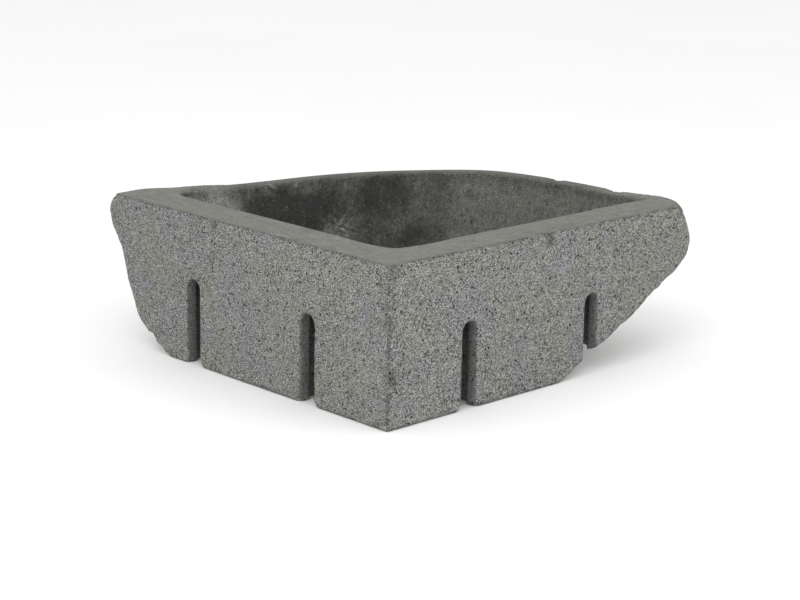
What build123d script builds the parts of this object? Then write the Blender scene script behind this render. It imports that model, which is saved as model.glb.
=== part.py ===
from build123d import *
import os
from math import atan2, cos, degrees, hypot, pi, sin

# Stone corner basin, hewn from a boulder: two sawn wall faces at a right angle, a sawn top
# and base, a carved bowl, and four hanging slots in the wall faces.
# Millimetres. While it is built, the wall corner at base level is the working origin:
# +X along the longer wall face, +Y along the shorter one, +Z up. The finished pieces
# are moved so that the origin is the middle of the stone's box, at base level.

# Driving dimensions of the stone; the two walls' lengths are taken at the rim
stone_height = 150.0
long_wall_length = 395.0
short_wall_length = 397.0
bowl_depth = 105.0
# Rim outline, from the end of the short wall round to the end of the long wall: how far
# it reaches along the long wall and along the short wall, as shares of their lengths.
rim_form = [
    (0.0, 1.0),
    (0.096, 1.003),
    (0.175, 0.965),
    (0.334, 0.904),
    (0.529, 0.872),
    (0.706, 0.816),
    (0.861, 0.725),
    (0.977, 0.615),
    (1.01, 0.511),
    (1.03, 0.307),
    (1.035, 0.196),
    (1.051, 0.101),
    (1.0, 0.0),
]
# Boulder form: share of the height, then how far the rind reaches at that height
# as a share of the rim outline, at the short wall, at the front and at the long wall.
boulder_form = [
    (0.0, 0.762, 0.715, 0.562),
    (0.033, 0.806, 0.744, 0.592),
    (0.073, 0.832, 0.774, 0.627),
    (0.167, 0.899, 0.835, 0.704),
    (0.300, 0.931, 0.895, 0.810),
    (0.467, 0.957, 0.950, 0.932),
    (0.633, 0.977, 0.992, 1.038),
    (0.800, 1.019, 1.012, 1.051),
    (0.913, 1.023, 1.012, 1.030),
    (1.0, 1.0, 1.0, 1.0),
]
saw_waste = 0.2

# Driving dimensions of the bowl
short_wall_thickness = 45.0
long_wall_thickness = 42.0
front_rim_width = 19.0
mouth_corner_radius = 20.0
# Share of the bowl's depth, then share of the way from the floor's round to the mouth.
bowl_form = [
    (0.0, 0.0),
    (0.02, 0.20),
    (0.045, 0.40),
    (0.09, 0.58),
    (0.17, 0.73),
    (0.30, 0.85),
    (0.47, 0.92),
    (0.72, 0.97),
    (1.0, 1.0),
]

# Driving dimensions of the hanging slots: distances from the wall corner, and their tops
short_wall_slot_near = 107.0
short_wall_slot_far = 272.5
short_wall_slot_top = 85.0
long_wall_slot_near = 102.0
long_wall_slot_far = 268.5
long_wall_slot_near_top = 82.5
long_wall_slot_far_top = 80.5
slot_width = 18.0
slot_neck_depth = 13.0
pocket_depth = 14.0
pocket_side = 7.0

# Driving dimensions of the drain in the stone
drain_x = 165.0
drain_y = 160.0
drain_hole_diameter = 45.0
stone_at_drain = 19.0
recess_diameter = 78.0

# Driving dimensions of the waste fitting
barrel_diameter = 41.91
barrel_wall = 2.9
barrel_length = 44.5
thread_end_chamfer = 0.6
thread_relief_width = 1.2
thread_relief_depth = 0.8
flange_diameter = 64.0
flange_height = 4.2
flange_edge_radius = 1.4
seat_height = 2.5
seat_diameter = 50.0
flange_gasket_thickness = 2.0
flange_gasket_diameter = 62.0
lower_gasket_thickness = 3.0
lower_gasket_diameter = 64.0
gasket_collar_height = 4.0
slip_washer_thickness = 1.5
slip_washer_diameter = 60.0
nut_across_flats = 50.0
nut_height = 7.0
nut_corner_cut = 0.8

# Driving dimensions of the click cartridge
bridge_rise = 2.5
bridge_thickness = 4.0
bridge_arm_width = 4.0
bridge_arm_count = 4
bridge_hub_diameter = 17.0
spigot_diameter = 10.0
housing_diameter = 18.0
housing_bore = 15.0
housing_floor = 2.0
spring_space = 8.0
spring_wire = 0.9
spring_diameter = 8.6
spring_turns = 5
rotor_height = 4.0
rotor_ring_diameter = 10.4
rotor_lug_count = 4
rotor_lug_width = 1.7
rotor_lug_slant = 1.0
groove_count = 8
groove_rib_width = 2.0
groove_rib_reach = 1.9
latch_gap = 0.4
plug_travel = 9.0
stem_diameter = 6.0
stem_collar_diameter = 9.2
stem_collar_height = 2.7
stem_floor_gap = 2.5
lid_plug_height = 4.0
lid_flange_height = 2.0
wiper_section = 1.8

# Driving dimensions of the plug
cap_diameter = 62.0
cap_edge_height = 1.6
cap_dome_height = 4.2
cap_web = 2.6
cap_hub_diameter = 12.0
cap_hub_drop = 5.8
cap_lip_thickness = 1.5
cap_lip_width = 4.0
seal_thickness = 2.5
seal_groove_depth = 1.0

# Clearances
thread_gap = 0.05
gasket_gap = 0.3
running_gap = 0.08
sliding_gap = 0.3
spring_end_gap = 0.1
seal_edge_gap = 1.0
cap_lip_gap = 0.5
stop_gap = 0.3
wiper_gap = 0.1

# Heights worked out from the values above
bowl_floor = stone_height - bowl_depth
recess_ceiling = bowl_floor - stone_at_drain
flange_low = bowl_floor + flange_gasket_thickness
seat_level = flange_low + seat_height
flange_top = flange_low + flange_height
cap_low = seat_level + seal_thickness
lip_low = seat_level - cap_lip_thickness
lower_gasket_low = recess_ceiling - lower_gasket_thickness
slip_washer_low = lower_gasket_low - slip_washer_thickness
nut_low = slip_washer_low - nut_height
relief_low = nut_low - thread_relief_width
barrel_end = flange_low - barrel_length
bridge_low = barrel_end + bridge_rise
housing_low = bridge_low + bridge_thickness
spring_low = housing_low + housing_floor
rotor_low = spring_low + spring_space
rotor_top = rotor_low + rotor_height
collar_top = rotor_top + stem_collar_height
rib_low = rotor_top + latch_gap
housing_top = collar_top + plug_travel + stop_gap + lid_plug_height
hub_low = cap_low - cap_hub_drop
cap_edge_top = cap_low + cap_edge_height
dome_top = cap_edge_top + cap_dome_height
web_low = dome_top - cap_web
stem_top = cap_edge_top
stem_low = spring_low + stem_floor_gap

# Outline and radii worked out from the values above
rim_outline = [(x * long_wall_length, y * short_wall_length) for x, y in rim_form]
barrel_radius = barrel_diameter / 2
barrel_bore = barrel_radius - barrel_wall
stem_radius = stem_diameter / 2
housing_wall = (housing_diameter - housing_bore) / 2
wiper_centre = stem_radius + running_gap + wiper_section / 2
gland_radius = wiper_centre + wiper_section / 2 + wiper_gap
lip_radius = barrel_bore - cap_lip_gap
lip_inner_radius = lip_radius - cap_lip_width
seal_groove_radius = lip_radius - seal_groove_depth
seal_radius = seat_diameter / 2 - seal_edge_gap
drain_axis = Axis((drain_x, drain_y, 0), (0, 0, 1))
turning_plane = Plane(origin=(drain_x, drain_y, 0), x_dir=(1, 0, 0), z_dir=(0, -1, 0))


def drain_level(height):
    return Plane(origin=(drain_x, drain_y, height))


def slot_profile(along, top, half_width):
    """A slot with a round top, open at the base; inside a sketch on a wall face."""
    straight_top = top - half_width
    with Locations((along, 0)):
        Rectangle(half_width * 2, straight_top * 2)
    with Locations((along, straight_top)):
        Circle(half_width)


def smooth_step(share):
    return (1 - cos(pi * share)) / 2


def boulder_share(x, y, short_wall, front, long_wall):
    """Reach of the rind towards a point: the walls' shares blend into the front's."""
    turn = min(max(degrees(atan2(y, x)) / 90, 0), 1)
    if turn < 0.5:
        return long_wall + (front - long_wall) * smooth_step(turn * 2)
    return front + (short_wall - front) * smooth_step(turn * 2 - 1)


def boulder_section(short_wall, front, long_wall):
    """The rind at one height, carried past both wall faces into the saw's waste."""
    points = []
    for x, y in rim_outline:
        share = boulder_share(x, y, short_wall, front, long_wall)
        points.append((x * share, y * share))
    start = (-saw_waste, points[0][1])
    end = (points[-1][0] - saw_waste, -saw_waste)
    return [start] + points + [end]


def spacing(points):
    """Share of the whole run at each point, so that all sections of a loft match."""
    runs = [0]
    for here, after in zip(points, points[1:]):
        runs.append(runs[-1] + hypot(after[0] - here[0], after[1] - here[1]))
    return [run / runs[-1] for run in runs]


def rim_inset(points, width):
    """Points moved inwards from an outline, square to the chord of their neighbours."""
    moved = []
    for before, here, after in zip(points, points[1:], points[2:]):
        run_x = after[0] - before[0]
        run_y = after[1] - before[1]
        length = hypot(run_x, run_y)
        moved.append((here[0] + run_y / length * width, here[1] - run_x / length * width))
    return moved


def bowl_mouth():
    """The bowl's edge at the rim: two straight walls and a front that follows the rind."""
    front = rim_inset(rim_outline, front_rim_width)
    front = [(x, y) for x, y in front if x > short_wall_thickness and y > long_wall_thickness]
    near_x = short_wall_thickness
    near_y = long_wall_thickness
    corner = mouth_corner_radius
    left_end = front[0][1]
    right_end = front[-1][0]
    mouth = []
    for share in (0.93, 0.7, 0.45, 0.2):
        mouth.append((near_x, near_y + corner + (left_end - near_y - corner) * share))
    for step in range(4):
        angle = pi + pi / 6 * step
        mouth.append((near_x + corner + corner * cos(angle), near_y + corner + corner * sin(angle)))
    for share in (0.2, 0.45, 0.7, 0.93):
        mouth.append((near_x + corner + (right_end - near_x - corner) * share, near_y))
    return mouth + front[::-1]


def bowl_section(share):
    """The bowl's wall at one height: the mouth drawn in towards the floor's round."""
    points = []
    floor_radius = flange_diameter / 2 + flange_edge_radius * 2
    for x, y in bowl_mouth():
        reach_x = x - drain_x
        reach_y = y - drain_y
        reach = hypot(reach_x, reach_y)
        drawn = floor_radius + (reach - floor_radius) * share
        points.append((drain_x + reach_x / reach * drawn, drain_y + reach_y / reach * drawn))
    return points


# The stone
rind_spacing = spacing(boulder_section(1, 1, 1))
mouth_spacing = spacing(bowl_mouth() + bowl_mouth()[:1])
with BuildPart() as stone_basin:
    for height, short_wall, front, long_wall in boulder_form:
        with BuildSketch(Plane.XY.offset(height * stone_height)):
            with BuildLine():
                section = boulder_section(short_wall, front, long_wall)
                add(Edge.make_spline(section, parameters=rind_spacing))
                Polyline(section[-1], (-saw_waste, -saw_waste), section[0])
            make_face()
    loft()
    # The two wall faces are sawn flat.
    split(bisect_by=Plane.YZ, keep=Keep.TOP)
    split(bisect_by=Plane.XZ, keep=Keep.BOTTOM)
    # The carved bowl, drawn in from the mouth to a round floor about the drain
    for depth, share in bowl_form:
        with BuildSketch(Plane.XY.offset(bowl_floor + depth * bowl_depth)):
            with BuildLine():
                section = bowl_section(share)
                add(Edge.make_spline(section, periodic=True, parameters=mouth_spacing))
            make_face()
    loft(mode=Mode.SUBTRACT)
    # The drain hole, and a recess under it that keeps the back nut above the base
    with Locations(Location((drain_x, drain_y, 0), (180, 0, 0))):
        CounterBoreHole(
            radius=drain_hole_diameter / 2,
            counter_bore_radius=recess_diameter / 2,
            counter_bore_depth=recess_ceiling,
            depth=stone_height,
        )
    # Each hanging slot is a narrow neck in the wall face with a wider pocket behind it.
    for wall, inwards, along, top in (
        (Plane.YZ, 1, short_wall_slot_near, short_wall_slot_top),
        (Plane.YZ, 1, short_wall_slot_far, short_wall_slot_top),
        (Plane.XZ, -1, long_wall_slot_near, long_wall_slot_near_top),
        (Plane.XZ, -1, long_wall_slot_far, long_wall_slot_far_top),
    ):
        with BuildSketch(wall):
            slot_profile(along, top, slot_width / 2)
        extrude(amount=inwards * slot_neck_depth, mode=Mode.SUBTRACT)
        with BuildSketch(wall.offset(inwards * slot_neck_depth)):
            slot_profile(along, top + pocket_side, slot_width / 2 + pocket_side)
        extrude(amount=inwards * pocket_depth, mode=Mode.SUBTRACT)

# The waste's body: flange, threaded barrel, and a bridge that carries the cartridge
with BuildPart() as waste_body:
    with BuildSketch(turning_plane):
        with BuildLine():
            Polyline(
                (barrel_bore, barrel_end),
                (barrel_radius - thread_end_chamfer, barrel_end),
                (barrel_radius, barrel_end + thread_end_chamfer),
                (barrel_radius, relief_low),
                (barrel_radius - thread_relief_depth, relief_low),
                (barrel_radius - thread_relief_depth, nut_low),
                (barrel_radius, nut_low),
                (barrel_radius, flange_low),
                (flange_diameter / 2, flange_low),
                (flange_diameter / 2, flange_top),
                (seat_diameter / 2, flange_top),
                (seat_diameter / 2, seat_level),
                (barrel_bore, seat_level),
                close=True,
            )
        make_face()
    revolve(axis=drain_axis)
    with BuildSketch(drain_level(bridge_low)):
        Circle(bridge_hub_diameter / 2)
        with PolarLocations((barrel_bore + barrel_wall / 2) / 2, bridge_arm_count):
            Rectangle(barrel_bore + barrel_wall / 2, bridge_arm_width)
    extrude(amount=bridge_thickness)
    with BuildSketch(drain_level(bridge_low)):
        Circle(spigot_diameter / 2 + thread_gap)
    extrude(amount=bridge_thickness, mode=Mode.SUBTRACT)
    flange_rims = waste_body.edges().filter_by(GeomType.CIRCLE).group_by(Axis.Z)[-1]
    fillet(flange_rims.sort_by(SortBy.RADIUS)[-1], flange_edge_radius)

with BuildPart() as flange_gasket:
    with BuildSketch(drain_level(bowl_floor)):
        Circle(flange_gasket_diameter / 2)
        Circle(barrel_radius + gasket_gap, mode=Mode.SUBTRACT)
    extrude(amount=flange_gasket_thickness)

# The lower gasket has a collar that centres the barrel in the stone's hole.
with BuildPart() as lower_gasket:
    with BuildSketch(drain_level(lower_gasket_low)):
        Circle(lower_gasket_diameter / 2)
    extrude(amount=lower_gasket_thickness)
    with BuildSketch(drain_level(recess_ceiling)):
        Circle(drain_hole_diameter / 2 - gasket_gap)
    extrude(amount=gasket_collar_height)
    with Locations((drain_x, drain_y, recess_ceiling)):
        Hole(barrel_radius + gasket_gap)

with BuildPart() as slip_washer:
    with BuildSketch(drain_level(slip_washer_low)):
        Circle(slip_washer_diameter / 2)
        Circle(barrel_radius + gasket_gap, mode=Mode.SUBTRACT)
    extrude(amount=slip_washer_thickness)

# The back nut is a hexagon with its corners turned off.
with BuildPart() as back_nut:
    with BuildSketch(drain_level(nut_low)):
        RegularPolygon(nut_across_flats / 2, 6, major_radius=False)
        Circle(nut_across_flats / 2 / cos(pi / 6) - nut_corner_cut, mode=Mode.INTERSECT)
        Circle(barrel_radius + thread_gap, mode=Mode.SUBTRACT)
    extrude(amount=nut_height)

# The click cartridge: a housing that screws into the bridge, with ribs between grooves
with BuildPart() as cartridge_housing:
    with BuildSketch(drain_level(housing_low)):
        Circle(housing_diameter / 2)
    extrude(amount=housing_top - housing_low)
    with BuildSketch(drain_level(bridge_low)):
        Circle(spigot_diameter / 2)
    extrude(amount=bridge_thickness)
    with BuildSketch(drain_level(spring_low)):
        Circle(housing_bore / 2)
    extrude(amount=housing_top - spring_low, mode=Mode.SUBTRACT)
    with BuildSketch(drain_level(rib_low)):
        rib_length = groove_rib_reach + housing_wall / 2
        rib_middle = housing_bore / 2 - groove_rib_reach + rib_length / 2
        with PolarLocations(rib_middle, groove_count, start_angle=180 / groove_count):
            Rectangle(rib_length, groove_rib_width)
    extrude(amount=housing_top - lid_plug_height - rib_low)

# The lid guides the stem; a gland in its bore holds the wiper ring.
with BuildPart() as cartridge_lid:
    with BuildSketch(drain_level(housing_top - lid_plug_height)):
        Circle(housing_bore / 2 - thread_gap)
    extrude(amount=lid_plug_height)
    with BuildSketch(drain_level(housing_top)):
        Circle(housing_diameter / 2)
    extrude(amount=lid_flange_height)
    with Locations((drain_x, drain_y, housing_top)):
        Hole(stem_radius + running_gap)
    with BuildSketch(drain_level(housing_top - wiper_section / 2 - wiper_gap)):
        Circle(gland_radius)
    extrude(amount=wiper_section + 2 * wiper_gap, mode=Mode.SUBTRACT)

with BuildPart() as stem_wiper:
    with BuildSketch(turning_plane):
        with Locations((wiper_centre, housing_top)):
            Circle(wiper_section / 2)
    revolve(axis=drain_axis)

with BuildPart() as latch_spring:
    coil_low = spring_low + spring_end_gap + spring_wire / 2
    coil_rise = spring_space - spring_wire - 2 * spring_end_gap
    with BuildLine():
        coil = Helix(
            pitch=coil_rise / spring_turns,
            height=coil_rise,
            radius=spring_diameter / 2,
            center=(drain_x, drain_y, coil_low),
        )
    with BuildSketch(Plane(origin=coil @ 0, z_dir=coil % 0)):
        Circle(spring_wire / 2)
    sweep(is_frenet=True)

# The indexing rotor turns on the stem; its slanted lugs ride in the housing's grooves.
lug_planes = []
for lug in range(rotor_lug_count):
    turn = 2 * pi / rotor_lug_count * lug
    lug_planes.append(
        Plane(
            origin=(drain_x, drain_y, rotor_low),
            x_dir=(-sin(turn), cos(turn), 0),
            z_dir=(cos(turn), sin(turn), 0),
        )
    )
with BuildPart() as latch_rotor:
    with BuildSketch(drain_level(rotor_low)):
        Circle(rotor_ring_diameter / 2)
    extrude(amount=rotor_height)
    with BuildSketch(*lug_planes):
        with BuildLine():
            Polyline(
                (-rotor_lug_width / 2, 0),
                (rotor_lug_width / 2, 0),
                (rotor_lug_width / 2, rotor_height - rotor_lug_slant),
                (-rotor_lug_width / 2, rotor_height),
                close=True,
            )
        make_face()
    extrude(amount=housing_bore / 2 - sliding_gap)
    with Locations((drain_x, drain_y, rotor_low)):
        Hole(stem_radius + running_gap)

# The stem screws into the cap's hub; its collar sits on the rotor.
with BuildPart() as plug_stem:
    with BuildSketch(drain_level(stem_low)):
        Circle(stem_radius)
    extrude(amount=stem_top - stem_low)
    with BuildSketch(drain_level(rotor_top)):
        Circle(stem_collar_diameter / 2)
    extrude(amount=stem_collar_height)

# The plug's cap: a low dome with a hub for the stem and a grooved lip for the seal
with BuildPart() as plug_cap:
    with BuildSketch(turning_plane):
        with BuildLine():
            Polyline(
                (cap_diameter / 2, cap_edge_top),
                (cap_diameter / 2, cap_low),
                (seal_groove_radius, cap_low),
                (seal_groove_radius, seat_level),
                (lip_radius, seat_level),
                (lip_radius, lip_low),
                (lip_inner_radius, lip_low),
                (lip_inner_radius, web_low),
                (cap_hub_diameter / 2, web_low),
                (cap_hub_diameter / 2, hub_low),
                (stem_radius + thread_gap, hub_low),
                (stem_radius + thread_gap, stem_top),
                (0, stem_top),
                (0, dome_top),
            )
            TangentArc((0, dome_top), (cap_diameter / 2, cap_edge_top), tangent=(1, 0))
        make_face()
    revolve(axis=drain_axis)

with BuildPart() as plug_seal:
    with BuildSketch(drain_level(seat_level)):
        Circle(seal_radius)
        Circle(seal_groove_radius + thread_gap, mode=Mode.SUBTRACT)
    extrude(amount=seal_thickness)

# The origin goes to the middle of the stone's box, at base level.
stone_box = stone_basin.part.bounding_box()
to_origin = Location((-stone_box.center().X, -stone_box.center().Y, 0))
pieces = {
    "stone_basin": stone_basin,
    "waste_body": waste_body,
    "flange_gasket": flange_gasket,
    "lower_gasket": lower_gasket,
    "slip_washer": slip_washer,
    "back_nut": back_nut,
    "cartridge_housing": cartridge_housing,
    "cartridge_lid": cartridge_lid,
    "stem_wiper": stem_wiper,
    "latch_spring": latch_spring,
    "latch_rotor": latch_rotor,
    "plug_stem": plug_stem,
    "plug_cap": plug_cap,
    "plug_seal": plug_seal,
}
os.makedirs("parts", exist_ok=True)
for name, piece in pieces.items():
    piece.part.label = name
    export_step(piece.part.moved(to_origin), f"parts/{name}.step")

print("wall corner at", -stone_box.center().X, -stone_box.center().Y)
print("drain axis at", drain_x - stone_box.center().X, drain_y - stone_box.center().Y)
print("trap thread from", barrel_end + thread_end_chamfer, "to", relief_low)
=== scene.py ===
import math

import bpy
import numpy as np
from mathutils import Matrix, Vector
from mathutils.bvhtree import BVHTree
from mathutils.kdtree import KDTree


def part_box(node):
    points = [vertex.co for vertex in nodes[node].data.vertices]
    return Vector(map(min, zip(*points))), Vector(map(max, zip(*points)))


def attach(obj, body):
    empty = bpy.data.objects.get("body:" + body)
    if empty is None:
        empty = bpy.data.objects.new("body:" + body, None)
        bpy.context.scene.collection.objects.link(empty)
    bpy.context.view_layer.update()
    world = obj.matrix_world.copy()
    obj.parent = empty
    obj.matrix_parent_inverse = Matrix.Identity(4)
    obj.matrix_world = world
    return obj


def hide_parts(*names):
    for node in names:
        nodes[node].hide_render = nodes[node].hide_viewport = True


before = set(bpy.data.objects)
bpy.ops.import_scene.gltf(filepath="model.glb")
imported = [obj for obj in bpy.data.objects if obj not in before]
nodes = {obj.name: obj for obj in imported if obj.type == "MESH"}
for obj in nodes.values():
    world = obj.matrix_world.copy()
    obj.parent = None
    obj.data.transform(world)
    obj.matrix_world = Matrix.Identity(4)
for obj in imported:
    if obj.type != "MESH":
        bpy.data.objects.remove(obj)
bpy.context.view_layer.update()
print("frame loaded,", len(nodes), "nodes")

stoneLow, stoneHigh = (np.array(corner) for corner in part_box("stone_basin"))
wasteLow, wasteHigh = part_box("waste_body")
drain = np.array((wasteLow + wasteHigh) / 2)[:2]


# Noise for shapes

latticeSide = 64


def softNoise(points, size, seed):
    # smooth lumps, 0 to 1; size is the width of a lump in metres
    lattice = np.random.default_rng(seed).random((latticeSide,) * 3)
    spot = points / size
    cell = np.floor(spot).astype(int)
    part = spot - cell
    part = part * part * (3 - 2 * part)
    total = np.zeros(len(points))
    for corner in np.ndindex(2, 2, 2):
        weight = np.where(corner, part, 1 - part).prod(axis=1)
        at = (cell + corner) % latticeSide
        total += weight * lattice[at[:, 0], at[:, 1], at[:, 2]]
    return total


def roughNoise(points, size, seed, layers=3):
    # layers of ever finer noise, about -1 to 1
    total, most = np.zeros(len(points)), 0.0
    for layer in range(layers):
        share = 0.5**layer
        total += share * (softNoise(points, size * share, seed + layer) * 2 - 1)
        most += share
    return total / most * 1.6


def ease(value, start, end):
    share = np.clip((value - start) / (end - start), 0, 1)
    return share * share * (3 - 2 * share)


# The stone: the solid's surface on a fine grid, worn at its edges, pitted and weathered

stone = {
    "gridSize": 0.0015,
    "edgeRounds": 7,  # smoothing passes at the sharp edges
    "edgeWear": 0.85,
    "cornerRounds": 26,  # more of them where the slots meet the base, and at the rim's ends
    "cornerReach": 0.0055,
    "rimWear": 0.35,
    "rindSwell": 0.0016,  # lumps of the natural rind
    "rindRough": 0.0009,
    "bowlSwell": 0.0005,  # tool waves in the carved bowl
    "sawnPits": 1500,
    "rindPits": 1100,
    "pitRadius": (0.0011, 0.0026),
    "pitDepth": (0.0004, 0.0011),
    "mostFaces": 190000,
    "seed": 11,
}

# Places on the stone, measured from the corner of the two walls at the base, in metres.
# Where the bowl's side leans in further: place, reach and how far it comes forward
swells = [
    ((0.078, 0.348, 0.134), 0.028, 0.0095),
    ((0.052, 0.300, 0.140), 0.022, 0.0050),
    ((0.386, 0.036, 0.140), 0.022, 0.0080),
]
# Painted shade deep in the bowl, and dark patches along its far wall below the rim: place, reach and strength
bowlShadeAndPatchSpots = [
    ((0.128, 0.338, 0.133), 0.018, 0.45),
    ((0.142, 0.333, 0.124), 0.020, 0.75),
    ((0.173, 0.325, 0.114), 0.027, 1.20),
    ((0.207, 0.323, 0.120), 0.022, 0.75),
    ((0.226, 0.320, 0.130), 0.018, 0.35),
    ((0.262, 0.307, 0.126), 0.024, 0.80),
    ((0.293, 0.293, 0.131), 0.022, 0.65),
    ((0.326, 0.271, 0.131), 0.020, 0.50),
    ((0.250, 0.300, 0.085), 0.024, 0.40),
    ((0.284, 0.279, 0.080), 0.026, 0.60),
    ((0.310, 0.265, 0.080), 0.024, 0.50),
    ((0.190, 0.195, 0.045), 0.120, 0.70),
]
# Painted light on the bowl's upper left end, where its side faces up, and paler patches beside the corner edge
litAndPaleSpots = [
    ((0.093, 0.362, 0.140), 0.009, 0.55),
    ((0.100, 0.358, 0.135), 0.011, 0.95),
    ((0.111, 0.349, 0.130), 0.009, 0.70),
    ((0.070, 0.335, 0.144), 0.010, 0.4),
    ((0.002, 0.012, 0.050), 0.007, 0.75),
    ((0.002, 0.016, 0.064), 0.006, 0.85),
]
# Scuffed stone in the bowl, and dark stains beside the corner edge
scuffSpots = [
    ((0.231, 0.313, 0.098), 0.010, 0.9),
    ((0.211, 0.317, 0.101), 0.005, 1.0),
    ((0.149, 0.338, 0.149), 0.007, 0.9),
    ((0.181, 0.329, 0.148), 0.005, 0.9),
]
stainSpots = [
    ((0.000, 0.003, 0.098), 0.0055, 0.9),
    ((0.004, 0.000, 0.052), 0.0080, 0.9),
    ((0.008, 0.000, 0.044), 0.0060, 0.7),
    ((0.006, 0.000, 0.143), 0.0080, 0.7),
    ((0.000, 0.000, 0.128), 0.0060, 0.6),
    ((0.0012, 0.240, 0.1455), 0.0042, 1.8),
    ((0.206, 0.0015, 0.1450), 0.0048, 1.4),
    ((0.207, 0.000, 0.1390), 0.0030, 0.9),
    ((0.000, 0.107, 0.088), 0.0050, 0.4),
    ((0.000, 0.273, 0.088), 0.0040, 0.5),
]

# Chips and ledges: place, radius and depth
chips = [
    ((0, 0.2403, 0.1475), 0.0050, 0.0022),
    ((0, 0.2650, 0.1345), 0.0040, 0.0014),
    ((0, 0.3400, 0.0150), 0.0090, 0.0034),
    ((0, 0.3985, 0.1270), 0.0060, 0.0018),
    ((0, 0.0020, 0.1480), 0.0045, 0.0018),
    ((0.2062, 0, 0.1470), 0.0070, 0.0032),
    ((0.2064, 0, 0.1400), 0.0045, 0.0020),
    ((0.0070, 0, 0.1480), 0.0050, 0.0018),
    ((0.3880, 0, 0.1490), 0.0075, 0.0022),
    ((0.3640, 0, 0.0800), 0.0070, 0.0022),
    ((0.0040, 0, 0.0830), 0.0042, 0.0016),
    ((0.0030, 0, 0.0300), 0.0050, 0.0014),
    ((0, 0.0030, 0.0560), 0.0040, 0.0012),
    ((0.0020, 0, 0.1130), 0.0050, 0.0012),
    ((0.4000, 0.1680, 0.1500), 0.0130, 0.0020),
    ((0.4060, 0.0900, 0.1500), 0.0130, 0.0022),
]
# Gouges left by the chisel: both ends, half width and depth
gouges = [
    ((0.219, 0.3155, 0.1020), (0.238, 0.3090, 0.0930), 0.0022, 0.0012),
    ((0.226, 0.3135, 0.1050), (0.236, 0.3105, 0.0980), 0.0018, 0.0008),
    ((0.209, 0.3175, 0.1010), (0.213, 0.3170, 0.0985), 0.0026, 0.0012),
    ((0.176, 0.3300, 0.1480), (0.186, 0.3280, 0.1470), 0.0024, 0.0012),
    ((0.143, 0.3390, 0.1480), (0.156, 0.3360, 0.1480), 0.0024, 0.0012),
]
# Hanging slots, as distances along each wall from the corner, for telling slot from rind
slotSpots = {"short": (0.107, 0.2725), "long": (0.102, 0.2685)}
slotReach, slotDepth, slotHeight = 0.017, 0.028, 0.094
shortEnd, longEnd = 0.399, 0.395  # where each wall's top runs out
zones = ("sawn", "honed", "carved", "rind", "hidden")


def blobs(points, spots):
    # soft round patches, as a value from 0 to 1
    total = np.zeros(len(points))
    for place, reach, strength in spots:
        away = np.linalg.norm(points - stoneLow - np.array(place), axis=1)
        total += strength * np.exp(-((away / reach) ** 2))
    return np.clip(total, 0, 1)


def zoneOf(centre, normal):
    # which kind of surface a face of the solid is, as a number in zones
    fromShort, fromLong = centre[:, 0] - stoneLow[0], centre[:, 1] - stoneLow[1]
    fromDrain = np.hypot(*(centre[:, :2] - drain).T)
    outwards = ((centre[:, :2] - drain) * normal[:, :2]).sum(axis=1)
    kind = np.full(len(centre), zones.index("rind"))
    kind[(outwards < 0) | (normal[:, 2] > 0.5)] = zones.index("carved")
    near = 0.0004
    kind[(centre[:, 2] > stoneHigh[2] - near) & (normal[:, 2] > 0.9)] = zones.index("honed")
    base = (centre[:, 2] < stoneLow[2] + near) & (normal[:, 2] < -0.9)
    kind[(fromShort < near) & (normal[:, 0] < -0.9)] = zones.index("sawn")
    kind[(fromLong < near) & (normal[:, 1] < -0.9)] = zones.index("sawn")
    kind[base] = zones.index("sawn")
    for wall, deep, along in (("short", fromShort, fromLong), ("long", fromLong, fromShort)):
        for at in slotSpots[wall]:
            inside = (deep > near) & (deep < slotDepth) & (abs(along - at) < slotReach)
            kind[inside & (centre[:, 2] < slotHeight) & ~base] = zones.index("hidden")
    kind[(fromDrain < 0.040) & (centre[:, 2] < 0.0445) & ~base] = zones.index("hidden")
    return kind


def readFaces(mesh):
    corners = np.empty(len(mesh.vertices) * 3)
    mesh.vertices.foreach_get("co", corners)
    corners = corners.reshape(-1, 3)
    mesh.calc_loop_triangles()
    faces = np.empty(len(mesh.loop_triangles) * 3, int)
    mesh.loop_triangles.foreach_get("vertices", faces)
    return corners, faces.reshape(-1, 3)


def neighbourMean(values, edges, count):
    # mean of each vertex's neighbours, for one value or three a vertex
    values = values.reshape(count, -1)
    shared = np.bincount(edges.ravel(), minlength=count)
    means = []
    for column in values.T:
        total = np.bincount(edges[:, 0], column[edges[:, 1]], count)
        total += np.bincount(edges[:, 1], column[edges[:, 0]], count)
        means.append(total / np.maximum(shared, 1))
    return np.stack(means, axis=1).squeeze()


def applyModifiers(piece):
    view = bpy.context.evaluated_depsgraph_get()
    mesh = bpy.data.meshes.new_from_object(piece.evaluated_get(view))
    piece.modifiers.clear()
    old, piece.data = piece.data, mesh
    bpy.data.meshes.remove(old)


def fineCopy(name, node, gridSize):
    # a new object with the solid's shape on an even grid
    piece = bpy.data.objects.new(name, nodes[node].data.copy())
    bpy.context.scene.collection.objects.link(piece)
    grid = piece.modifiers.new("grid", "REMESH")
    grid.mode = "VOXEL"
    grid.voxel_size = gridSize
    applyModifiers(piece)
    return piece


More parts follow.
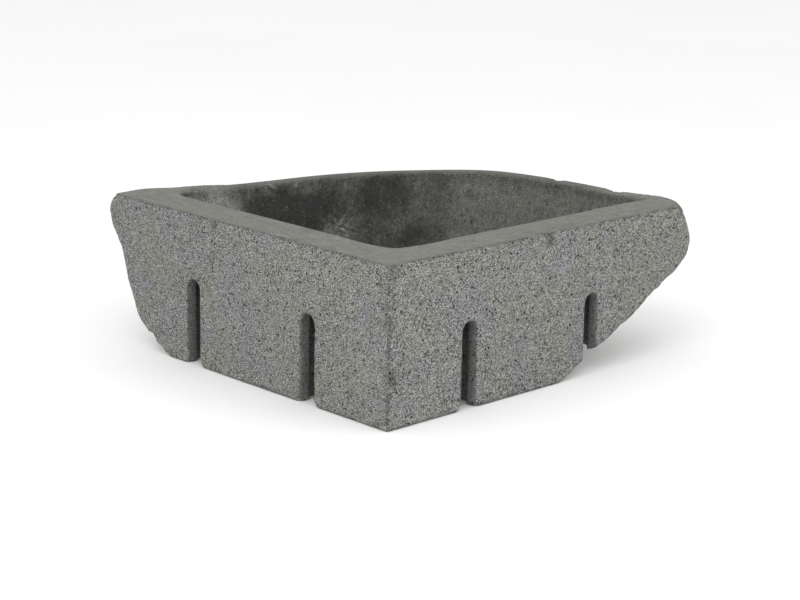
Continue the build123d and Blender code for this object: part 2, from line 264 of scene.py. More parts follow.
def shapeStone():
    piece = fineCopy("basinStone", "stone_basin", stone["gridSize"])
    mesh = piece.data
    count = len(mesh.vertices)
    points = np.empty(count * 3)
    mesh.vertices.foreach_get("co", points)
    points = points.reshape(-1, 3)
    edges = np.empty(len(mesh.edges) * 2, int)
    mesh.edges.foreach_get("vertices", edges)
    edges = edges.reshape(-1, 2)
    print("stone grid has", count, "points")

    # back onto the solid's own surface, which gives each point its zone and true normal
    corners, faces = readFaces(nodes["stone_basin"].data)
    a, b, c = (corners[faces[:, k]] for k in range(3))
    faceNormals = np.cross(b - a, c - a)
    faceNormals /= np.maximum(np.linalg.norm(faceNormals, axis=1), 1e-12)[:, None]
    faceZones = zoneOf((a + b + c) / 3, faceNormals)
    tree = BVHTree.FromPolygons(corners.tolist(), faces.tolist())
    nearest = [tree.find_nearest(point) for point in points.tolist()]
    points = np.array([found[0] for found in nearest])
    hit = np.array([found[2] for found in nearest])
    normals, zone = faceNormals[hit], faceZones[hit]

    # edges: where the normals round a point disagree
    spread = normals
    for _ in range(2):
        spread = (spread + neighbourMean(spread, edges, count)) / 2
    sharp = ease(1 - np.linalg.norm(spread, axis=1), 0.01, 0.12)
    wear = softNoise(points, 0.006, stone["seed"]) * 0.6 + softNoise(points, 0.02, stone["seed"] + 1) * 0.4
    crisp = np.where((zone == zones.index("honed")) | (zone == zones.index("carved")), 0.55, 1.0)
    pull = sharp * crisp * (0.3 + 0.7 * wear) * stone["edgeWear"]
    for _ in range(stone["edgeRounds"]):
        points = points + (neighbourMean(points, edges, count) - points) * pull[:, None]

    # rounder still at the slots' feet, and where the rim runs out into the rind
    fromCorner = points - stoneLow
    reach = stone["cornerReach"]
    tips = [(0, at + side * 0.009, 0) for at in slotSpots["short"] for side in (-1, 1)]
    tips += [(at + side * 0.009, 0, 0) for at in slotSpots["long"] for side in (-1, 1)]
    reaches = [reach] * len(tips) + [reach * 2, reach * 0.8]
    near = np.zeros(count)
    for tip, tipReach in zip(tips + [(longEnd, 0, 0.150), (0, shortEnd, 0.150)], reaches):
        away = np.linalg.norm((fromCorner - np.array(tip)) * (1, 1, 0.8), axis=1)
        near = np.maximum(near, ease(tipReach - away, 0, reach))
    # and along the rim of the rind side, where hands have rubbed it
    rindSide = ease(fromCorner[:, 0] + fromCorner[:, 1], 0.430, 0.460) * ease(points[:, 2], 0.142, 0.147)
    near = np.maximum(near, rindSide * stone["rimWear"])
    for _ in range(stone["cornerRounds"]):
        points = points + (neighbourMean(points, edges, count) - points) * near[:, None]
    for place, reach, forward in swells:
        away = np.linalg.norm(points - stoneLow - np.array(place), axis=1)
        forward = forward * np.exp(-((away / reach) ** 2)) * (zone == zones.index("carved"))
        points += normals * forward[:, None]

    # relief of each zone, along the solid's normals
    rind = (zone == zones.index("rind")).astype(float)
    carved = (zone == zones.index("carved")).astype(float)
    hidden = (zone == zones.index("hidden")).astype(float)
    belowRim = stoneHigh[2] - points[:, 2]
    seed = stone["seed"]
    lift = rind * (
        stone["rindSwell"] * roughNoise(points, 0.042, seed + 10)
        + stone["rindRough"] * roughNoise(points, 0.009, seed + 20)
    )
    lift += carved * ease(belowRim, 0.001, 0.010) * stone["bowlSwell"] * roughNoise(points, 0.022, seed + 30)
    lift += hidden * 0.0004 * roughNoise(points, 0.005, seed + 40)
    push = normals * lift[:, None]

    # the rind's relief carries a little way into the sawn faces and the rim beside it
    flat = (zone == zones.index("sawn")) | (zone == zones.index("honed"))
    carry = push.copy()
    for _ in range(9):
        carry[flat] = neighbourMean(carry, edges, count)[flat] * 0.9
    inPlane = carry - normals * (carry * normals).sum(axis=1)[:, None]
    push[flat] = inPlane[flat]
    points = points + push

    # chips and ledges along the edges
    chipped = np.zeros(count)
    ragged = roughNoise(points, 0.004, seed + 50)[:, None]
    for place, radius, depth in chips:
        away = np.linalg.norm(points - stoneLow - np.array(place) + 0.25 * radius * ragged, axis=1)
        inside = ease(radius - away, 0, radius)
        points -= normals * (depth * inside)[:, None]
        chipped = np.maximum(chipped, inside)
    for start, end, halfWidth, depth in gouges:
        start, along = np.array(start), np.array(end) - np.array(start)
        offset = points - stoneLow - start
        share = np.clip(offset @ along / (along @ along), 0, 1)
        away = np.linalg.norm(offset - share[:, None] * along, axis=1)
        points -= normals * (depth * ease(halfWidth - away, 0, halfWidth))[:, None]

    # pits
    random = np.random.default_rng(seed)
    pit = np.zeros(count)
    finder = KDTree(count)
    for index, point in enumerate(points.tolist()):
        finder.insert(point, index)
    finder.balance()
    chosen = [
        *random.choice(np.flatnonzero((zone == zones.index("sawn")) & (points[:, 2] > 0.001)), stone["sawnPits"]),
        *random.choice(np.flatnonzero(zone == zones.index("rind")), stone["rindPits"]),
    ]
    for start in chosen:
        radius = random.uniform(*stone["pitRadius"]) * random.uniform(0.7, 1.2)
        depth = random.uniform(*stone["pitDepth"])
        for _, index, away in finder.find_range(points[start].tolist(), radius):
            pit[index] = max(pit[index], (1 - (away / radius) ** 2) * depth)
    points -= normals * pit[:, None]

    mesh.vertices.foreach_set("co", points.ravel())

    # values for the material, softened over a point or two
    values = {name: (zone == index).astype(float) for index, name in enumerate(zones)}
    values["edge"] = sharp * (0.4 + 0.6 * wear)
    values["pit"] = np.maximum(pit / stone["pitDepth"][1], chipped * 0.9)
    # painted shade deep in the bowl, and dark patches along its far wall
    values["bowlShadeAndPatches"] = blobs(points + 0.007 * roughNoise(points, 0.02, seed + 60)[:, None], bowlShadeAndPatchSpots)
    wavering = points + 0.0018 * roughNoise(points, 0.006, seed + 70)[:, None]
    # the pale values hold painted light on the bowl's upper left end as well as pale patches
    for name, places in (("paleAndLit", litAndPaleSpots), ("scuff", scuffSpots), ("stain", stainSpots)):
        values[name] = blobs(wavering, places)
    for name, value in values.items():
        if name in zones:
            value = (value + neighbourMean(value, edges, count)) / 2
        layer = mesh.attributes.new(name, "FLOAT", "POINT")
        layer.data.foreach_set("value", value.astype(np.float32))

    # fewer faces, but none lost at the edges, in the pits and where the stone is marked
    marked = values["paleAndLit"] + values["scuff"] + values["stain"] + chipped
    plain = (sharp < 0.2) & (pit < stone["pitDepth"][0]) & (marked < 0.1)
    free = piece.vertex_groups.new(name="free")
    free.add(np.flatnonzero(plain).tolist(), 1.0, "REPLACE")
    thin = piece.modifiers.new("thin", "DECIMATE")
    thin.vertex_group, thin.vertex_group_factor = free.name, 0.00001
    mesh.calc_loop_triangles()
    thin.ratio = min(1, stone["mostFaces"] / len(mesh.loop_triangles))
    applyModifiers(piece)
    piece.vertex_groups.clear()
    for vertex in piece.data.vertices:
        vertex.co = np.clip(vertex.co, stoneLow, stoneHigh)
    piece.data.shade_smooth()
    print("stone shaped,", len(piece.data.polygons), "faces")
    return piece


# Shader helpers


def feed(tree, socket, value):
    if isinstance(value, bpy.types.NodeSocket):
        tree.links.new(value, socket)
    else:
        socket.default_value = value


def calc(tree, operation, *values, clamp=False):
    node = tree.nodes.new("ShaderNodeMath")
    node.operation = operation
    node.use_clamp = clamp
    for socket, value in zip(node.inputs, values):
        feed(tree, socket, value)
    return node.outputs[0]


def span(tree, value, low, high, toLow=0.0, toHigh=1.0):
    # eases a value from one range into another
    node = tree.nodes.new("ShaderNodeMapRange")
    node.interpolation_type = "SMOOTHSTEP"
    for label, number in (("From Min", low), ("From Max", high), ("To Min", toLow), ("To Max", toHigh)):
        feed(tree, node.inputs[label], number)
    feed(tree, node.inputs["Value"], value)
    return node.outputs[0]


def mixColour(tree, factor, first, second, way="MIX"):
    node = tree.nodes.new("ShaderNodeMix")
    node.data_type = "RGBA"
    node.blend_type = way
    feed(tree, node.inputs[0], factor)
    feed(tree, node.inputs[6], first)
    feed(tree, node.inputs[7], second)
    return node.outputs[2]


def stretch(tree, place, factors):
    node = tree.nodes.new("ShaderNodeVectorMath")
    node.operation = "MULTIPLY"
    feed(tree, node.inputs[0], place)
    feed(tree, node.inputs[1], factors)
    return node.outputs[0]


def noise(tree, place, scale, detail=2.0, roughness=0.5):
    node = tree.nodes.new("ShaderNodeTexNoise")
    feed(tree, node.inputs["Vector"], place)
    feed(tree, node.inputs["Scale"], scale)
    node.inputs["Detail"].default_value = detail
    node.inputs["Roughness"].default_value = roughness
    return node.outputs[0]


def crystals(tree, place, scale):
    # distance to the nearest crystal's middle, and a random number for each crystal
    node = tree.nodes.new("ShaderNodeTexVoronoi")
    feed(tree, node.inputs["Vector"], place)
    feed(tree, node.inputs["Scale"], scale)
    parts = tree.nodes.new("ShaderNodeSeparateColor")
    tree.links.new(node.outputs["Color"], parts.inputs[0])
    return node.outputs["Distance"], parts.outputs[0], parts.outputs[1]


def bump(tree, height, distance, strength=1.0):
    node = tree.nodes.new("ShaderNodeBump")
    node.inputs["Distance"].default_value = distance
    node.inputs["Strength"].default_value = strength
    feed(tree, node.inputs["Height"], height)
    return node.outputs[0]


def newGroup(name, inputs, outputs):
    group = bpy.data.node_groups.new(name, "ShaderNodeTree")
    for label, kind, value in inputs:
        socket = group.interface.new_socket(label, in_out="INPUT", socket_type="NodeSocket" + kind)
        if value is not None:
            socket.default_value = value
    for label, kind in outputs:
        group.interface.new_socket(label, in_out="OUTPUT", socket_type="NodeSocket" + kind)
    return group, group.nodes.new("NodeGroupInput").outputs, group.nodes.new("NodeGroupOutput").inputs


def place(tree, group, **values):
    # puts a group into a material; spaces in its socket names are written as _
    node = tree.nodes.new("ShaderNodeGroup")
    node.node_tree = group
    for label, value in values.items():
        feed(tree, node.inputs[label.replace("_", " ")], value)
    return node.outputs


def newMaterial(name, **fixed):
    # a Principled material; fixed are sockets that are the same all over
    material = bpy.data.materials.new(name)
    material.use_nodes = True
    shader = material.node_tree.nodes["Principled BSDF"]
    for label, value in fixed.items():
        shader.inputs[label.replace("_", " ")].default_value = value
    where = material.node_tree.nodes.new("ShaderNodeTexCoord").outputs["Object"]
    return material, material.node_tree, shader, where


# Effects that several materials share


def makeGrain():
    # salt and pepper crystals of two sizes on a broken ground, round a half
    group, given, out = newGroup(
        "mineralGrain",
        [("Vector", "Vector", None), ("Scale", "Float", 800.0), ("Contrast", "Float", 1.0)],
        [("Grain", "Float"), ("Height", "Float")],
    )
    _, large, _ = crystals(group, given["Vector"], given["Scale"])
    _, small, _ = crystals(group, given["Vector"], calc(group, "MULTIPLY", given["Scale"], 1.7))
    ground = noise(group, given["Vector"], calc(group, "MULTIPLY", given["Scale"], 0.6), 3.0, 0.7)
    mixed = calc(group, "MULTIPLY_ADD", large, 0.7, calc(group, "MULTIPLY", small, 0.4))
    mixed = calc(group, "MULTIPLY_ADD", ground, 0.2, mixed)
    centred = calc(group, "SUBTRACT", mixed, 0.65)
    group.links.new(calc(group, "MULTIPLY_ADD", centred, given["Contrast"], 0.5), out["Grain"])
    group.links.new(mixed, out["Height"])
    return group


def makeSpots():
    # round spots of one size in a random share of places
    group, given, out = newGroup(
        "scatteredSpots",
        [("Vector", "Vector", None), ("Scale", "Float", 200.0), ("Size", "Float", 0.2), ("Share", "Float", 0.3)],
        [("Mask", "Float")],
    )
    bent = group.nodes.new("ShaderNodeVectorMath")
    bent.operation = "MULTIPLY_ADD"
    wobble = group.nodes.new("ShaderNodeTexNoise")
    group.links.new(given["Vector"], wobble.inputs["Vector"])
    feed(group, wobble.inputs["Scale"], calc(group, "MULTIPLY", given["Scale"], 2.5))
    group.links.new(wobble.outputs["Color"], bent.inputs[0])
    bent.inputs[1].default_value = (0.0008, 0.0008, 0.0008)
    group.links.new(given["Vector"], bent.inputs[2])
    away, chance, size = crystals(group, bent.outputs[0], given["Scale"])
    radius = calc(group, "MULTIPLY", given["Size"], calc(group, "MULTIPLY_ADD", size, 0.9, 0.35))
    inside = span(group, calc(group, "SUBTRACT", radius, away), 0.0, 0.06)
    there = calc(group, "LESS_THAN", chance, given["Share"])
    group.links.new(calc(group, "MULTIPLY", inside, there), out["Mask"])
    return group


def makeClouds():
    # soft patches with broken edges
    group, given, out = newGroup(
        "softPatches",
        [("Vector", "Vector", None), ("Scale", "Float", 30.0), ("Low", "Float", 0.4), ("High", "Float", 0.65)],
        [("Mask", "Float")],
    )
    group.links.new(span(group, noise(group, given["Vector"], given["Scale"], 4.0, 0.6), given["Low"], given["High"]), out["Mask"])
    return group


def makeStreaks():
    # fine lines that run along one direction, given as how tightly they vary each way
    group, given, out = newGroup(
        "fineStreaks",
        [("Vector", "Vector", None), ("Tightness", "Vector", (600.0, 30.0, 600.0))],
        [("Value", "Float")],
    )
    drawn = stretch(group, given["Vector"], given["Tightness"])
    group.links.new(noise(group, drawn, 1.0, 3.0, 0.6), out["Value"])
    return group


def makeScratches():
    # thin curved lines in a few places; stretch the vector to turn them one way
    group, given, out = newGroup(
        "curvedScratches",
        [("Vector", "Vector", None), ("Scale", "Float", 60.0), ("Width", "Float", 0.01), ("Share", "Float", 0.5)],
        [("Mask", "Float")],
    )
    line = calc(group, "ABSOLUTE", calc(group, "SUBTRACT", noise(group, given["Vector"], given["Scale"], 0.5), 0.5))
    line = span(group, line, given["Width"], 0.0)
    place = noise(group, given["Vector"], calc(group, "MULTIPLY", given["Scale"], 0.7), 1.0)
    group.links.new(calc(group, "MULTIPLY", line, span(group, place, given["Share"], 0.75)), out["Mask"])
    return group


grain, spots, clouds, streaks, scratches = makeGrain(), makeSpots(), makeClouds(), makeStreaks(), makeScratches()


# Stone finish: one material, which tells the zones apart by the mesh's own values

stoneTone = {
    "sawn": (0.239, 0.243, 0.218, 1),
    "honed": (0.180, 0.183, 0.162, 1),
    "carved": (0.150, 0.152, 0.134, 1),
    "rind": (0.205, 0.205, 0.184, 1),
    "hidden": (0.172, 0.172, 0.169, 1),
    "cool": (0.231, 0.235, 0.250, 1),
    "patina": (0.220, 0.204, 0.168, 1),
    "slate": (0.95, 0.96, 1.07, 1),
    # painted shade on the rim's far side
    "farRimShade": (0.66, 0.66, 0.65, 1),
    # painted shade and dark patches in the bowl
    "bowlShadeAndPatches": (0.032, 0.032, 0.028, 1),
    # pale patches and scuffs, and painted light in the bowl
    "paleAndLit": (0.290, 0.290, 0.270, 1),
    # dark of pores, cuts and grime, also used for the painted shade along the base edges
    "poreAndShade": (0.020, 0.020, 0.019, 1),
    "fleck": (0.75, 0.75, 0.72, 1),
    "rust": (0.26, 0.16, 0.13, 1),
}
stoneGrain = {
    "sawn": 4.4,  # strength of the grain on each kind of surface
    "rind": 2.8,
    "honed": 1.0,
    "carved": 1.5,
    "hidden": 1.8,
}


def fromPlanes(tree, where):
    # distances from the short wall, the long wall, the base and the top
    parts = tree.nodes.new("ShaderNodeSeparateXYZ")
    tree.links.new(where, parts.inputs[0])
    away = [calc(tree, "SUBTRACT", parts.outputs[axis], float(stoneLow[axis])) for axis in range(3)]
    return (*away, calc(tree, "SUBTRACT", float(stoneHigh[2]), parts.outputs[2]))


def edgeLine(tree, fromShort, fromLong, fromBase, fromTop):
    # distance from the straight edges that the two walls, the rim and the base share
    pairs = [(fromShort, fromLong)]
    pairs += [(side, level) for side in (fromShort, fromLong) for level in (fromBase, fromTop)]
    nearest = 1.0
    for first, second in pairs:
        nearest = calc(tree, "MINIMUM", nearest, calc(tree, "MAXIMUM", first, second))
    return nearest


def finishStone():
    material, tree, shader, where = newMaterial("hewnStone", IOR=1.5, Specular_IOR_Level=0.2)

    def value(name):
        node = tree.nodes.new("ShaderNodeAttribute")
        node.attribute_name = name
        return node.outputs["Fac"]

    def part(mask, share):
        return calc(tree, "MULTIPLY", mask, share)

    sawn, honed, carved, rind, hidden = (value(name) for name in zones)
    speckle = place(tree, grain, Vector=where, Scale=1650.0, Contrast=1.0)
    patches = place(tree, clouds, Vector=where, Scale=26.0, Low=0.40, High=0.62)["Mask"]
    smallPatches = place(tree, clouds, Vector=where, Scale=110.0, Low=0.42, High=0.7)["Mask"]
    pores = place(tree, spots, Vector=where, Scale=260.0, Size=0.30, Share=0.24)["Mask"]
    tallPores = place(tree, spots, Vector=stretch(tree, where, (1, 1, 0.38)), Scale=190.0, Size=0.24, Share=0.14)["Mask"]
    flecks = place(tree, spots, Vector=where, Scale=420.0, Size=0.30, Share=0.14)["Mask"]
    rust = place(tree, spots, Vector=where, Scale=34.0, Size=0.085, Share=0.10)["Mask"]

    colour = stoneTone["sawn"]
    colour = mixColour(tree, honed, colour, stoneTone["honed"])
    weathered = place(tree, clouds, Vector=where, Scale=17.0, Low=0.40, High=0.66)["Mask"]
    skin = mixColour(tree, part(weathered, 0.8), stoneTone["rind"], stoneTone["patina"])
    colour = mixColour(tree, rind, colour, skin)
    cool = calc(tree, "MULTIPLY", patches, calc(tree, "MULTIPLY_ADD", smallPatches, 0.5, 0.5))
    cool = calc(tree, "MULTIPLY", cool, calc(tree, "SUBTRACT", 1.0, honed))
    away = fromPlanes(tree, where)
    cool = calc(tree, "MULTIPLY", cool, span(tree, away[0], 0.36, 0.24, 0.15, 1.0))
    colour = mixColour(tree, cool, colour, stoneTone["cool"])
    colour = mixColour(tree, carved, colour, stoneTone["carved"])
    colour = mixColour(tree, hidden, colour, stoneTone["hidden"])

    # painted shade and dark patches in the bowl, painted light on its upper left end with paler patches by the corner,
    # and water marks down the bowl
    blotch = noise(tree, where, 60.0, 6.0, 0.7)
    bowlShadeAndPatches = calc(tree, "ADD", value("bowlShadeAndPatches"), calc(tree, "MULTIPLY_ADD", blotch, 2.2, -1.22))
    bowlShadeZones = calc(tree, "ADD", carved, part(honed, 0.75), clamp=True)
    colour = mixColour(tree, calc(tree, "MULTIPLY", span(tree, bowlShadeAndPatches, -0.25, 1.0), bowlShadeZones), colour, stoneTone["bowlShadeAndPatches"])
    drips = place(tree, streaks, Vector=where, Tightness=(220.0, 220.0, 18.0))["Value"]
    fineBlotch = noise(tree, where, 230.0, 4.0, 0.75)
    mottle = part(calc(tree, "SUBTRACT", drips, 0.5), 0.8)
    mottle = calc(tree, "ADD", mottle, part(calc(tree, "SUBTRACT", blotch, 0.5), 1.6))
    mottle = calc(tree, "ADD", mottle, part(calc(tree, "SUBTRACT", fineBlotch, 0.5), 1.6))
    mottle = calc(tree, "MULTIPLY_ADD", mottle, carved, 1.0)
    colour = mixColour(tree, 1.0, colour, mottle, "MULTIPLY")
    tinted = calc(tree, "MULTIPLY", carved, cool)
    colour = mixColour(tree, tinted, colour, stoneTone["slate"], "MULTIPLY")
    # painted shade: the rim on the rind side is made darker than the rim along the walls
    shadedFarRim = span(tree, calc(tree, "MINIMUM", away[0], away[1]), 0.06, 0.13)
    colour = mixColour(tree, calc(tree, "MULTIPLY", shadedFarRim, honed), colour, stoneTone["farRimShade"], "MULTIPLY")
    # painted light on the bowl's upper left end, and paler patches beside the corner edge
    litAndPale = calc(tree, "MULTIPLY", value("paleAndLit"), span(tree, noise(tree, where, 180.0, 4.0, 0.7), 0.25, 0.6))
    colour = mixColour(tree, litAndPale, colour, stoneTone["paleAndLit"])
    scuffed = calc(tree, "MULTIPLY", value("scuff"), span(tree, fineBlotch, 0.45, 0.6))
    colour = mixColour(tree, scuffed, colour, stoneTone["paleAndLit"])

    # grain, strongest on the sawn faces
    amount = 0.0
    for mask, name in zip((sawn, honed, carved, rind, hidden), zones):
        amount = calc(tree, "MULTIPLY_ADD", mask, stoneGrain[name], amount)
    shade = calc(tree, "SUBTRACT", speckle["Grain"], 0.5)
    shade = calc(tree, "MAXIMUM", calc(tree, "MULTIPLY_ADD", shade, amount, 1.0), 0.12)
    colour = mixColour(tree, 1.0, colour, shade, "MULTIPLY")
    bare = calc(tree, "MINIMUM", part(amount, 0.5), 1.0)
    holes = calc(tree, "MAXIMUM", pores, tallPores)
    colour = mixColour(tree, calc(tree, "MULTIPLY", holes, part(bare, 0.9)), colour, stoneTone["poreAndShade"])
    bright = calc(tree, "MULTIPLY_ADD", sawn, 0.75, part(bare, 0.2))
    colour = mixColour(tree, calc(tree, "MULTIPLY", flecks, bright), colour, stoneTone["fleck"])
    colour = mixColour(tree, calc(tree, "MULTIPLY", rust, part(sawn, 0.4)), colour, stoneTone["rust"])

    # honing lines, along each stretch of the rim, and a few scratches
    lines = place(tree, streaks, Vector=where, Tightness=(900.0, 45.0, 900.0))["Value"]
    linesAcross = place(tree, streaks, Vector=where, Tightness=(45.0, 900.0, 900.0))["Value"]
    turned = span(tree, calc(tree, "SUBTRACT", away[0], away[1]), -0.015, 0.015)
    brushed = calc(tree, "MULTIPLY_ADD", calc(tree, "SUBTRACT", linesAcross, lines), turned, lines)
    brushed = calc(tree, "MULTIPLY_ADD", calc(tree, "SUBTRACT", brushed, 0.5), part(honed, 1.5), 1.0)
    colour = mixColour(tree, 1.0, colour, brushed, "MULTIPLY")
    cuts = place(tree, scratches, Vector=where, Scale=45.0, Width=0.010, Share=0.52)["Mask"]
    smooth = calc(tree, "ADD", part(honed, 0.5), part(carved, 0.6))
    cuts = calc(tree, "MULTIPLY", cuts, smooth)
    colour = mixColour(tree, cuts, colour, stoneTone["poreAndShade"])

    # grime in pits and stains and along worn edges, and a broken dark line along the straight edges: grime where the
    # walls meet the rim and each other, painted shade where they meet the base
    broken = noise(tree, where, 420.0, 4.0, 0.7)
    worn = calc(tree, "MULTIPLY", value("edge"), span(tree, broken, 0.46, 0.58))
    wander = calc(tree, "ADD", part(broken, 0.010), part(noise(tree, where, 130.0, 2.0), 0.010))
    # the broken line is painted shade along the base edges and grime along the rim and corner edges
    line = calc(tree, "ADD", edgeLine(tree, *away), calc(tree, "SUBTRACT", wander, 0.0098))
    line = span(tree, line, 0.0032, 0.0006)
    line = calc(tree, "MULTIPLY", line, calc(tree, "ADD", sawn, part(honed, 0.3), clamp=True))
    stained = calc(tree, "MULTIPLY", value("stain"), span(tree, broken, 0.32, 0.54))
    grimeAndShade = calc(tree, "MAXIMUM", part(worn, 0.35), part(value("pit"), 0.45))
    grimeAndShade = calc(tree, "MAXIMUM", grimeAndShade, part(line, 0.42))
    grimeAndShade = calc(tree, "MAXIMUM", grimeAndShade, part(stained, 0.55))
    colour = mixColour(tree, grimeAndShade, colour, stoneTone["poreAndShade"])
    feed(tree, shader.inputs["Base Color"], colour)

    gloss = calc(tree, "ADD", part(honed, 0.28), part(carved, 0.34))
    gloss = calc(tree, "SUBTRACT", 0.92, gloss)
    gloss = calc(tree, "MULTIPLY_ADD", calc(tree, "SUBTRACT", speckle["Grain"], 0.5), 0.25, gloss, clamp=True)
    feed(tree, shader.inputs["Roughness"], gloss)

    relief = calc(tree, "MULTIPLY", speckle["Height"], amount)
    relief = calc(tree, "SUBTRACT", relief, calc(tree, "MULTIPLY", holes, part(bare, 2.0)))
    relief = calc(tree, "SUBTRACT", relief, cuts)
    feed(tree, shader.inputs["Normal"], bump(tree, relief, 0.0005, 0.8))
    return material


basinStone = shapeStone()
basinStone.data.materials.clear()
basinStone.data.materials.append(finishStone())
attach(basinStone, "basin")
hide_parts("stone_basin")
print("stone finished")


# Finishes of the waste and its cartridge


def finishChrome():
    material, tree, shader, where = newMaterial("polishedChrome", Metallic=1.0)
    drops = place(tree, spots, Vector=where, Scale=160.0, Size=0.34, Share=0.25)["Mask"]
    smears = place(tree, clouds, Vector=where, Scale=45.0, Low=0.4, High=0.75)["Mask"]
    film = calc(tree, "MULTIPLY_ADD", drops, 0.10, calc(tree, "MULTIPLY", smears, 0.05))
    feed(tree, shader.inputs["Base Color"], mixColour(tree, film, (0.56, 0.565, 0.57, 1), (0.42, 0.42, 0.41, 1)))
    feed(tree, shader.inputs["Roughness"], calc(tree, "MULTIPLY_ADD", film, 1.2, 0.05))
    fine = place(tree, streaks, Vector=where, Tightness=(900.0, 900.0, 60.0))["Value"]
    feed(tree, shader.inputs["Normal"], bump(tree, fine, 0.00002))
    return material


def finishBrass():
    material, tree, shader, where = newMaterial("turnedBrass", Metallic=1.0)
    tarnish = place(tree, clouds, Vector=where, Scale=120.0, Low=0.35, High=0.7)["Mask"]
    feed(tree, shader.inputs["Base Color"], mixColour(tree, tarnish, (0.62, 0.47, 0.22, 1), (0.36, 0.25, 0.12, 1)))
    feed(tree, shader.inputs["Roughness"], calc(tree, "MULTIPLY_ADD", tarnish, 0.22, 0.26))
    rings = place(tree, streaks, Vector=where, Tightness=(60.0, 60.0, 2200.0))["Value"]
    feed(tree, shader.inputs["Normal"], bump(tree, rings, 0.00004))
    return material


def finishRubber():
    material, tree, shader, where = newMaterial("blackRubber", Specular_IOR_Level=0.35)
    bloom = place(tree, clouds, Vector=where, Scale=160.0, Low=0.4, High=0.75)["Mask"]
    feed(tree, shader.inputs["Base Color"], mixColour(tree, bloom, (0.018, 0.018, 0.019, 1), (0.050, 0.050, 0.050, 1)))
    feed(tree, shader.inputs["Roughness"], calc(tree, "MULTIPLY_ADD", bloom, 0.2, 0.62))
    pebbles = place(tree, grain, Vector=where, Scale=2200.0, Contrast=1.0)["Height"]
    feed(tree, shader.inputs["Normal"], bump(tree, pebbles, 0.00005))
    return material


def finishPlastic(name, clean, aged):
    material, tree, shader, where = newMaterial(name, IOR=1.48)
    ageing = place(tree, clouds, Vector=where, Scale=90.0, Low=0.3, High=0.75)["Mask"]
    specks = place(tree, spots, Vector=where, Scale=500.0, Size=0.2, Share=0.12)["Mask"]
    colour = mixColour(tree, ageing, clean, aged)
    colour = mixColour(tree, calc(tree, "MULTIPLY", specks, 0.4), colour, (0.25, 0.24, 0.22, 1))
    feed(tree, shader.inputs["Base Color"], colour)
    feed(tree, shader.inputs["Roughness"], calc(tree, "MULTIPLY_ADD", ageing, 0.15, 0.38))
    skin = place(tree, grain, Vector=where, Scale=3000.0, Contrast=1.0)["Height"]
    feed(tree, shader.inputs["Normal"], bump(tree, skin, 0.00003))
    return material


def finishSpring():
    material, tree, shader, where = newMaterial("drawnSteel", Metallic=1.0)
    lines = place(tree, streaks, Vector=where, Tightness=(2500.0, 2500.0, 400.0))["Value"]
    feed(tree, shader.inputs["Base Color"], mixColour(tree, lines, (0.50, 0.50, 0.50, 1), (0.66, 0.66, 0.65, 1)))
    feed(tree, shader.inputs["Roughness"], calc(tree, "MULTIPLY_ADD", lines, 0.2, 0.2))
    feed(tree, shader.inputs["Normal"], bump(tree, lines, 0.00002))
    return material


chrome, brass, rubber, springSteel = finishChrome(), finishBrass(), finishRubber(), finishSpring()
acetal = finishPlastic("mouldedAcetal", (0.78, 0.78, 0.75, 1), (0.66, 0.65, 0.59, 1))
polythene = finishPlastic("naturalPolythene", (0.72, 0.73, 0.72, 1), (0.60, 0.60, 0.56, 1))
rotorPlastic = finishPlastic("blueAcetal", (0.10, 0.22, 0.42, 1), (0.09, 0.18, 0.34, 1))
wears = {
    "waste_body": chrome,
    "plug_cap": chrome,
    "plug_stem": brass,
    "back_nut": brass,
    "flange_gasket": rubber,
    "lower_gasket": rubber,
    "plug_seal": rubber,
    "stem_wiper": rubber,
    "slip_washer": polythene,
    "cartridge_housing": acetal,
    "cartridge_lid": acetal,
    "latch_rotor": rotorPlastic,
    "latch_spring": springSteel,
}
for name, material in wears.items():
    for slot in nodes[name].material_slots:
        slot.material = material
print("waste finished")


# Floor, light and camera

studio = {
    "floorSize": 12.0,
    "floorGap": 0.0003,
    "skyLight": 1.0,
    "keyWatts": 17.0,
    "keySize": 1.6,
    "keySpot": (-1.5, -0.8, 1.5),
    "fillWatts": 7.5,
    "fillSpot": (0.6, -1.8, 1.0),
}


def areaLight(name, spot, watts, size):
    light = bpy.data.lights.new(name, "AREA")
    light.energy, light.size = watts, size
    holder = bpy.data.objects.new(name, light)
    bpy.context.scene.collection.objects.link(holder)
    holder.location = spot
    holder.rotation_mode = "QUATERNION"
    holder.rotation_quaternion = (Vector(spot) - Vector((0, 0, 0.08))).to_track_quat("Z", "Y")


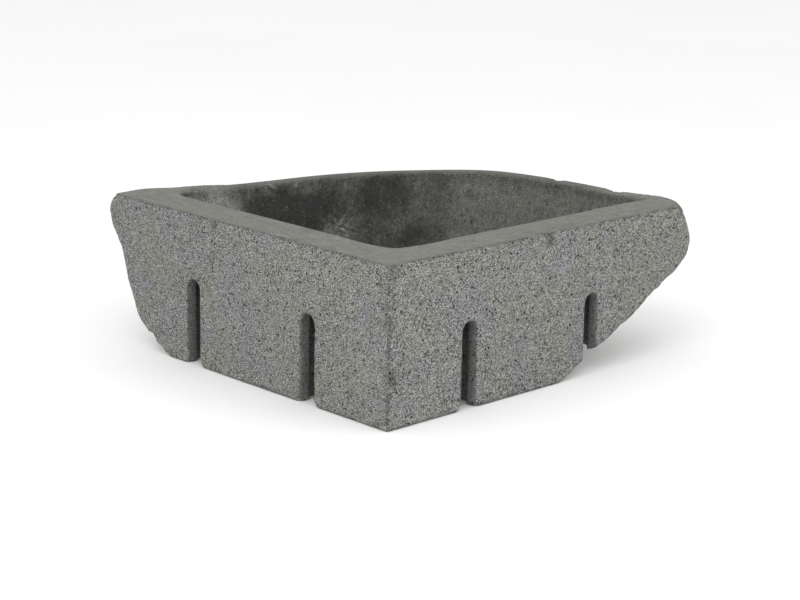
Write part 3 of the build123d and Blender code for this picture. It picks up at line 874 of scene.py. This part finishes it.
def makeStudio():
    half = studio["floorSize"] / 2
    mesh = bpy.data.meshes.new("floor")
    low = float(stoneLow[2]) - studio["floorGap"]
    mesh.from_pydata([(-half, -half, low), (half, -half, low), (half, half, low), (-half, half, low)], [], [(0, 1, 2, 3)])
    floor = bpy.data.objects.new("floor", mesh)
    bpy.context.scene.collection.objects.link(floor)
    material, tree, shader, where = newMaterial("paleFloor")
    tone = place(tree, clouds, Vector=where, Scale=2.0, Low=0.2, High=0.8)["Mask"]
    feed(tree, shader.inputs["Base Color"], mixColour(tree, tone, (0.90, 0.90, 0.90, 1), (0.92, 0.92, 0.92, 1)))
    shader.inputs["Roughness"].default_value = 0.9
    mesh.materials.append(material)
    world = bpy.data.worlds.new("studio")
    bpy.context.scene.world = world
    world.use_nodes = True
    sky = world.node_tree.nodes["Background"]
    sky.inputs["Color"].default_value = (1, 1, 1, 1)
    sky.inputs["Strength"].default_value = studio["skyLight"]
    areaLight("keyLight", studio["keySpot"], studio["keyWatts"], studio["keySize"])
    areaLight("fillLight", studio["fillSpot"], studio["fillWatts"], studio["keySize"])
    bpy.context.scene.view_settings.view_transform = "Standard"


# The camera stands on the walls' side of the basin; its place is measured from the corner
cameraView = {
    "fromCorner": (-1.12887, -1.17874, 0.54695),
    "turn": 45.9108,  # degrees from +X towards +Y
    "dip": 14.6556,
    "tilt": 1.0308,
    "lens": 88.455,
    "sensor": 36.0,
}


def makeCamera():
    lens = bpy.data.cameras.new("camera")
    lens.lens, lens.sensor_width = cameraView["lens"], cameraView["sensor"]
    lens.sensor_fit = "HORIZONTAL"
    lens.clip_start, lens.clip_end = 0.05, 50
    holder = bpy.data.objects.new("camera", lens)
    bpy.context.scene.collection.objects.link(holder)
    turn, dip, tilt = (math.radians(cameraView[name]) for name in ("turn", "dip", "tilt"))
    ahead = Vector((math.cos(dip) * math.cos(turn), math.cos(dip) * math.sin(turn), -math.sin(dip)))
    right = Vector((math.sin(turn), -math.cos(turn), 0))
    up = right.cross(ahead)
    rightTilted = right * math.cos(tilt) + up * math.sin(tilt)
    upTilted = up * math.cos(tilt) - right * math.sin(tilt)
    corner = Vector((stoneLow[0], stoneLow[1], stoneLow[2]))
    facing = Matrix((rightTilted, upTilted, -ahead)).transposed().to_4x4()
    holder.matrix_world = Matrix.Translation(corner + Vector(cameraView["fromCorner"])) @ facing
    bpy.context.scene.camera = holder


makeStudio()
makeCamera()
print("studio ready")
